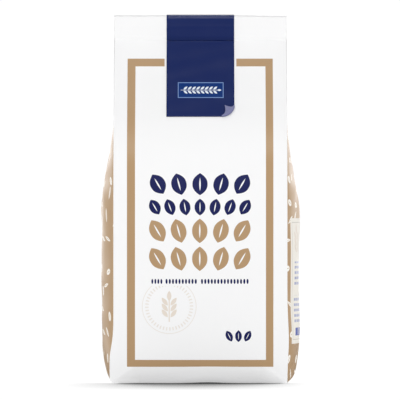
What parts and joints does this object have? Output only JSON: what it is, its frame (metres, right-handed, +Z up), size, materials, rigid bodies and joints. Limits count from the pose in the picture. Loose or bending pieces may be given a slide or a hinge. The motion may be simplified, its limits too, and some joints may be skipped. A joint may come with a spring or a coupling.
{
  "type": "bag of rolled oats",
  "caption": "Shut, filled paper bag of rolled oats standing on its block bottom, with side gussets, a flat top fold and a paper label over the top.",
  "frame": {"origin": "middle of the bag's flat base, on the surface that it stands on", "axes": "+Z up, towards the top fold; -Y out of the front panel; +X to the right as seen from the front"},
  "size_m": [0.1262, 0.074, 0.2346],
  "materials": {
    "printed_paper": "white satin coated paper, printed",
    "label_paper": "navy satin label paper"
  },
  "bodies": {
    "root": {"bag": "printed_paper", "top_label": "label_paper"}
  },
  "joints": []
}
